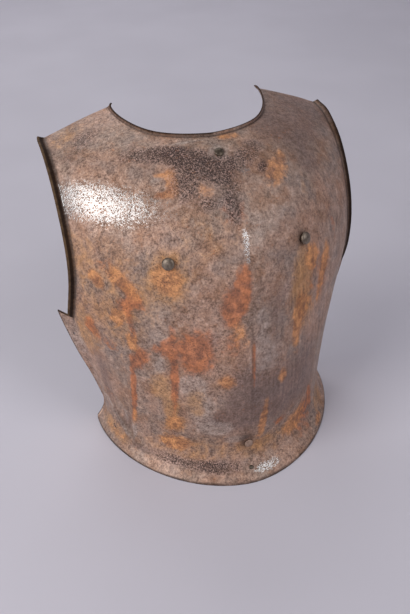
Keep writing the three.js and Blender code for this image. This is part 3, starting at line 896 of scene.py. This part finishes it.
class Nodes:
    """Short calls for one material's nodes. Numbers, colours, their names and sockets are inputs."""

    def __init__(self, name):
        self.material = bpy.data.materials.new(name)
        self.material.use_nodes = True
        self.tree = self.material.node_tree
        self.shader = self.tree.nodes["Principled BSDF"]
        self.place = self.tree.nodes.new("ShaderNodeTexCoord").outputs["Object"]

    def put(self, socket, value):
        if isinstance(value, str):
            value = linear(COLOURS[value])
        if isinstance(value, bpy.types.NodeSocket):
            self.tree.links.new(value, socket)
        elif isinstance(value, tuple) and socket.type == "RGBA":
            socket.default_value = (*value, 1)
        else:
            socket.default_value = value

    def math(self, operation, a, b, clamp=False):
        node = self.tree.nodes.new("ShaderNodeMath")
        node.operation = operation
        node.use_clamp = clamp
        self.put(node.inputs[0], a)
        self.put(node.inputs[1], b)
        return node.outputs[0]

    def plus(self, a, b):
        return self.math("ADD", a, b)

    def minus(self, a, b, clamp=False):
        return self.math("SUBTRACT", a, b, clamp)

    def times(self, a, b, clamp=False):
        return self.math("MULTIPLY", a, b, clamp)

    def most(self, first, *others):
        for other in others:
            first = self.math("MAXIMUM", first, other)
        return first

    def stretched(self, scale):
        """Object coordinates, each multiplied by its own scale."""
        node = self.tree.nodes.new("ShaderNodeVectorMath")
        node.operation = "MULTIPLY"
        self.put(node.inputs[0], self.place)
        node.inputs[1].default_value = scale
        return node.outputs[0]

    def noise(self, scale, detail=3.0, roughness=0.6, vector=None, distortion=0.0):
        node = self.tree.nodes.new("ShaderNodeTexNoise")
        self.put(node.inputs["Vector"], vector or self.place)
        node.inputs["Scale"].default_value = scale
        node.inputs["Detail"].default_value = detail
        node.inputs["Roughness"].default_value = roughness
        node.inputs["Distortion"].default_value = distortion
        return node.outputs["Fac"]

    def cells(self, scale):
        """Distance to the nearest of many scattered points."""
        node = self.tree.nodes.new("ShaderNodeTexVoronoi")
        self.put(node.inputs["Vector"], self.place)
        node.inputs["Scale"].default_value = scale
        return node.outputs["Distance"]

    def step(self, value, low, high, start=0.0, end=1.0):
        """A smooth step from start to end, while the value goes from low to high."""
        node = self.tree.nodes.new("ShaderNodeMapRange")
        node.interpolation_type = "SMOOTHSTEP"
        self.put(node.inputs["Value"], value)
        for key, number in zip(("From Min", "From Max", "To Min", "To Max"), (low, high, start, end)):
            node.inputs[key].default_value = number
        return node.outputs["Result"]

    def swing(self, noise_value, reach):
        """A noise's value as a swing to both sides of 0."""
        return self.step(noise_value, 0.3, 0.7, -reach, reach)

    def mix(self, factor, a, b):
        """Mix of two colours."""
        node = self.tree.nodes.new("ShaderNodeMix")
        node.data_type = "RGBA"
        self.put(node.inputs[0], factor)
        self.put(node.inputs[6], a)
        self.put(node.inputs[7], b)
        return node.outputs[2]

    def cover(self, colour, mask, share, name):
        """The colour with a share of a named colour over it where the mask is full."""
        return self.mix(self.times(mask, share), colour, name)

    def scaled(self, colour, factor):
        node = self.tree.nodes.new("ShaderNodeVectorMath")
        node.operation = "SCALE"
        self.put(node.inputs[0], colour)
        self.put(node.inputs["Scale"], factor)
        return node.outputs[0]

    def blend(self, factor, a, b):
        """Mix of two numbers."""
        node = self.tree.nodes.new("ShaderNodeMix")
        self.put(node.inputs[0], factor)
        self.put(node.inputs[2], a)
        self.put(node.inputs[3], b)
        return node.outputs[0]

    def channels(self, attribute):
        """The three channels of a colour layer."""
        read = self.tree.nodes.new("ShaderNodeAttribute")
        read.attribute_name = attribute
        split = self.tree.nodes.new("ShaderNodeSeparateColor")
        self.tree.links.new(read.outputs["Color"], split.inputs[0])
        return split.outputs[0], split.outputs[1], split.outputs[2]

    def bump(self, height, distance, strength, normal=None):
        node = self.tree.nodes.new("ShaderNodeBump")
        node.inputs["Strength"].default_value = strength
        node.inputs["Distance"].default_value = distance
        self.put(node.inputs["Height"], height)
        if normal is not None:
            self.put(node.inputs["Normal"], normal)
        return node.outputs["Normal"]

    def finish(self, **inputs):
        """The material, with these inputs on its shader."""
        for key, value in inputs.items():
            self.put(self.shader.inputs[key.replace("_", " ")], value)
        return self.material


def steel_noises(n):
    """The steel's mottling at every scale, from broad clouds to grit."""
    middle = n.noise(62, 5, 0.62, distortion=0.5)
    blotch = n.noise(125, 4, 0.62)
    return SimpleNamespace(
        broad=n.noise(14, 3, 0.55),
        cloud=n.noise(32, 4, 0.6),
        middle=middle,
        blotch=blotch,
        ragged=n.plus(n.times(middle, 0.6), n.times(blotch, 0.4)),
        freckles=n.noise(210, 4, 0.7),
        pitting=n.noise(38, 3),
        fine=n.noise(330, 3, 0.7),
        cell=n.cells(430),
        speckle=n.noise(540, 4, 0.8),
        grit=n.noise(820, 2, 0.7),
        brushed=n.noise(1.0, 3, 0.6, vector=n.stretched((190, 190, 9))),
    )


def ragged_mask(n, field, ragged, low, high, spread):
    """Mask of a charted field whose outline the noise breaks; there is none far from the field."""
    broken = n.plus(field, n.times(n.minus(ragged, 0.5), spread))
    return n.times(n.step(broken, low, high), n.step(field, 0.03, 0.3))


def mottled_metal(n, noises):
    """Bare metal and patina, mottled at every scale."""
    colour = n.mix(n.step(noises.broad, 0.38, 0.62), "warm_metal", "grey_metal")
    mottles = [
        (noises.cloud, 0.45, 0.66, 0.55, "brown_cloud"),
        (noises.cloud, 0.47, 0.32, 0.45, "grey_cloud"),
        (noises.middle, 0.50, 0.68, 0.5, "brown_mottle"),
        (noises.blotch, 0.52, 0.68, 0.5, "light_mottle"),
    ]
    for value, low, high, share, name in mottles:
        colour = n.mix(n.step(value, low, high, 0.0, share), colour, name)
    return colour


def with_patches(n, colour, masks, ragged):
    """Cool and pale areas, then rust from thin to fresh."""
    for kind, share in (("cool", 0.7), ("pale_and_highlight", 0.55), ("ochre", 0.62)):
        colour = n.cover(colour, masks[kind], share, kind)
    depth = n.step(ragged, 0.38, 0.62)
    for kind, share in (("red", 0.82), ("orange", 0.75)):
        rust = n.mix(depth, "deep_" + kind, "light_" + kind)
        colour = n.mix(n.times(masks[kind], share), colour, rust)
    return colour


def with_scale(n, colour, dark, speckle):
    """Dark pitted scale: a purple-brown stain with close dark specks. Also their mask."""
    speck = n.plus(speckle, n.times(dark, 0.15))
    scale = n.times(n.step(dark, 0.0, 0.6), n.step(speck, 0.56, 0.66))
    gaps = n.times(n.step(speckle, 0.50, 0.38), n.step(dark, 0.0, 0.4))
    colour = n.cover(colour, dark, 0.42, "stain")
    colour = n.cover(colour, gaps, 0.75, "scale_gap")
    return n.cover(colour, scale, 0.92, "scale"), scale


def with_pits(n, colour, noises, rough):
    """Freckles of rust and pits, closer where the sheet was never rubbed smooth. Also the pits."""
    freckle = n.times(n.step(noises.freckles, 0.58, 0.70), n.step(noises.cloud, 0.35, 0.6))
    colour = n.cover(colour, freckle, 0.5, "freckle")
    pitted = n.times(n.step(noises.pitting, 0.38, 0.62, 0.2, 1.0), rough)
    pits = n.times(n.step(noises.cell, 0.34, 0.14), pitted)
    return n.cover(colour, pits, 0.7, "pit"), pits


def with_grain(n, colour, noises, rusted, smooth, rough):
    """Light and dark grain over everything; where it is smooth the grain runs up and down."""
    grain = n.times(n.plus(n.swing(noises.fine, 0.34), n.swing(noises.blotch, 0.17)), rough)
    grain = n.plus(grain, n.swing(noises.grit, 0.10))
    grain = n.times(grain, n.minus(1.0, n.times(rusted, 0.25)))
    grain = n.plus(grain, n.times(n.swing(noises.brushed, 0.18), smooth))
    grain = n.plus(grain, n.swing(noises.middle, 0.12))
    colour = n.mix(n.times(grain, -1.6, clamp=True), colour, "grain")
    return n.scaled(colour, n.plus(1.03, n.most(grain, 0.0)))


def with_edges(n, colour, fields, blotch):
    """Painted shade on the lips, free edges and creases, a painted highlight with wear along the outer edge
    of the wearer's right arm lip, and the brown inside.
    """
    colour = n.mix(n.step(fields["lip"], 0.0, 0.4, 0.0, 0.95), colour, "lip")
    # A painted highlight, with wear, on the outer edge of the wearer's right arm lip, which faces the key
    # light.
    worn_and_lit = n.times(n.step(fields["lip"], 0.66, 0.85), n.step(blotch, 0.35, 0.6, 0.4, 0.85))
    colour = n.mix(worn_and_lit, colour, "worn_and_lit_edge")
    # Painted shade in the creases.
    colour = n.cover(colour, fields["crease"], 0.8, "lip")
    return n.cover(colour, fields["inside"], 0.75, "inside")


def gloss_mask(n, field, noises, bare):
    """Polished spots, broken up by fine noise and by cells."""
    shine = n.step(n.plus(field, n.swing(noises.fine, 0.4)), 0.3, 0.75)
    broken = n.times(n.times(shine, n.step(noises.cell, 0.30, 0.52)), bare)
    return n.times(broken, n.step(field, 0.05, 0.3))


def steel_normal(n, noises, pits, rusted, rough):
    """Normal of the grained, pitted and rusted surface."""
    height = n.plus(n.times(noises.fine, 0.5), n.times(noises.grit, 0.3))
    height = n.minus(height, n.times(pits, 0.6))
    height = n.plus(height, n.times(n.times(rusted, noises.fine), 0.5))
    normal = n.bump(noises.middle, 0.0025, 0.25)
    return n.bump(n.times(height, rough), 0.0010, 0.55, normal)


def rusted_steel():
    """Old steel: greyed bare metal under a thin brown patina, pitted, with patches of live rust; painted
    shade on the lips, creases and a few lines, and painted highlights along a fold.
    """
    n = Nodes("rusted_steel")
    fields = {}
    for layer, keys in WEAR_AND_SHADE_LAYERS.items():
        fields.update(zip(keys, n.channels(layer)))
    noises = steel_noises(n)
    masks = {kind: ragged_mask(n, fields[kind], noises.ragged, *edge) for kind, edge in PATCH_EDGES.items()}
    smooth = fields["smooth"]
    rough = n.minus(1.0, n.times(smooth, 0.4))

    colour = mottled_metal(n, noises)
    colour = with_patches(n, colour, masks, noises.ragged)
    colour, scale = with_scale(n, colour, masks["dark"], noises.speckle)
    colour, pits = with_pits(n, colour, noises, rough)
    # Painted shade along the ridge, a fold and the rim, and beside a stud and a rivet.
    lined = n.times(fields["line"], n.step(noises.middle, 0.35, 0.6, 0.4, 0.9))
    colour = n.mix(lined, colour, "line")
    rusted = n.most(masks["orange"], masks["red"], n.times(masks["ochre"], 0.7))
    colour = with_grain(n, colour, noises, rusted, smooth, rough)
    colour = with_edges(n, colour, fields, noises.blotch)

    pits = n.most(pits, scale)
    rusted = n.most(rusted, fields["inside"], n.step(fields["lip"], 0.0, 0.2), pits)
    bare = n.minus(1.0, rusted, clamp=True)
    gloss = gloss_mask(n, fields["gloss"], noises, bare)
    normal = steel_normal(n, noises, pits, rusted, rough)
    return n.finish(
        Base_Color=n.cover(colour, gloss, 0.6, "polished"),
        # The lips are mostly metallic, so that their painted shade takes no pale reflection.
        Metallic=n.plus(n.times(bare, 0.25), n.step(fields["lip"], 0.0, 0.3, 0.0, 0.9)),
        Roughness=n.blend(rusted, 0.48, 0.8),
        Normal=normal,
        Coat_Weight=gloss,
        Coat_Normal=normal,
        Coat_Roughness=0.15,
        Coat_IOR=2.2,
    )


def dark_metal(name, dark, light, roughness, metallic):
    """Tarnished metal of a stud or rivet, rubbed paler in places."""
    n = Nodes(name)
    cloud = n.noise(260, 4, 0.6)
    grit = n.noise(1400, 3, 0.6)
    colour = n.mix(n.step(cloud, 0.35, 0.65), linear(dark), linear(light))
    colour = n.mix(n.step(grit, 0.58, 0.78, 0.0, 0.35), colour, "fastener_grit")
    rough = n.step(cloud, 0.3, 0.7, roughness, roughness + 0.18)
    normal = n.bump(n.plus(cloud, n.times(grit, 0.4)), 0.0004, 0.5)
    return n.finish(Base_Color=colour, Metallic=metallic, Roughness=rough, Normal=normal)


plate.data.materials.append(rusted_steel())
finishes = {name: dark_metal(name, *facts) for name, facts in FASTENER_FINISHES.items()}
for name, facts in FASTENERS.items():
    fasteners[name].data.materials.append(finishes[facts["slot"]])

# ---- Floor and light ----

FLOOR_RADIUS = 2.6
COVE_RADIUS = 1.0
WALL_TOP = 3.0
COVE_STEPS = 12
STAGE_SIDES = 96

# Columns: name, azimuth and elevation in degrees, distance, size, power and colour.
LIGHTS = [
    ("key", -73, 33.5, 3.0, 1.7, 60, (1.0, 0.99, 0.98)),
    ("fill", 35, 38, 2.2, 0.9, 13, (0.98, 0.98, 1.0)),
    ("back", 178, 40, 3.2, 2.2, 27, (0.99, 0.99, 1.0)),
]
SKY_COLOUR = (0.93, 0.93, 1.0, 1)
SKY_STRENGTH = 0.16


def pale_floor():
    """Matt, nearly even floor."""
    n = Nodes("pale_floor")
    colour = n.mix(n.step(n.noise(2.2, 2), 0.3, 0.7), "floor", "floor_cloud")
    return n.finish(Base_Color=colour, Roughness=0.85, Specular_IOR_Level=0.2)


def make_stage():
    """Round floor that sweeps up into a wall all the way round."""
    profile = [(FLOOR_RADIUS, 0.0)]
    for step in range(1, COVE_STEPS + 1):
        angle = math.pi / 2 * step / COVE_STEPS
        out = FLOOR_RADIUS + COVE_RADIUS * math.sin(angle)
        profile.append((out, COVE_RADIUS * (1 - math.cos(angle))))
    profile.append((FLOOR_RADIUS + COVE_RADIUS, WALL_TOP))
    faces = [tuple(range(STAGE_SIDES))]
    for ring in range(len(profile) - 1):
        for side in range(STAGE_SIDES):
            after = (side + 1) % STAGE_SIDES
            low, high = ring * STAGE_SIDES, (ring + 1) * STAGE_SIDES
            faces.append((low + side, high + side, high + after, low + after))
    floor = new_object("floor", ring_points(profile, STAGE_SIDES), faces)
    floor.data.materials.append(pale_floor())


def area_light(name, azimuth, elevation, distance, size, power, colour):
    """Square soft light that looks at the middle of the plate; azimuth 0 is its front."""
    turn, lift = math.radians(azimuth), math.radians(elevation)
    flat = math.cos(lift)
    towards = Vector((math.sin(turn) * flat, -math.cos(turn) * flat, math.sin(lift)))
    data = bpy.data.lights.new(name, "AREA")
    data.size = size
    data.energy = power
    data.color = colour
    light = add_object(name, data)
    light.location = centre + towards * distance
    light.rotation_euler = (-towards).to_track_quat("-Z", "Y").to_euler()


make_stage()
for facts in LIGHTS:
    area_light(*facts)
world = bpy.data.worlds.new("studio")
world.use_nodes = True
background = world.node_tree.nodes["Background"]
background.inputs["Color"].default_value = SKY_COLOUR
background.inputs["Strength"].default_value = SKY_STRENGTH
bpy.context.scene.world = world
bpy.context.scene.view_settings.view_transform = "Standard"

bpy.context.view_layer.update()
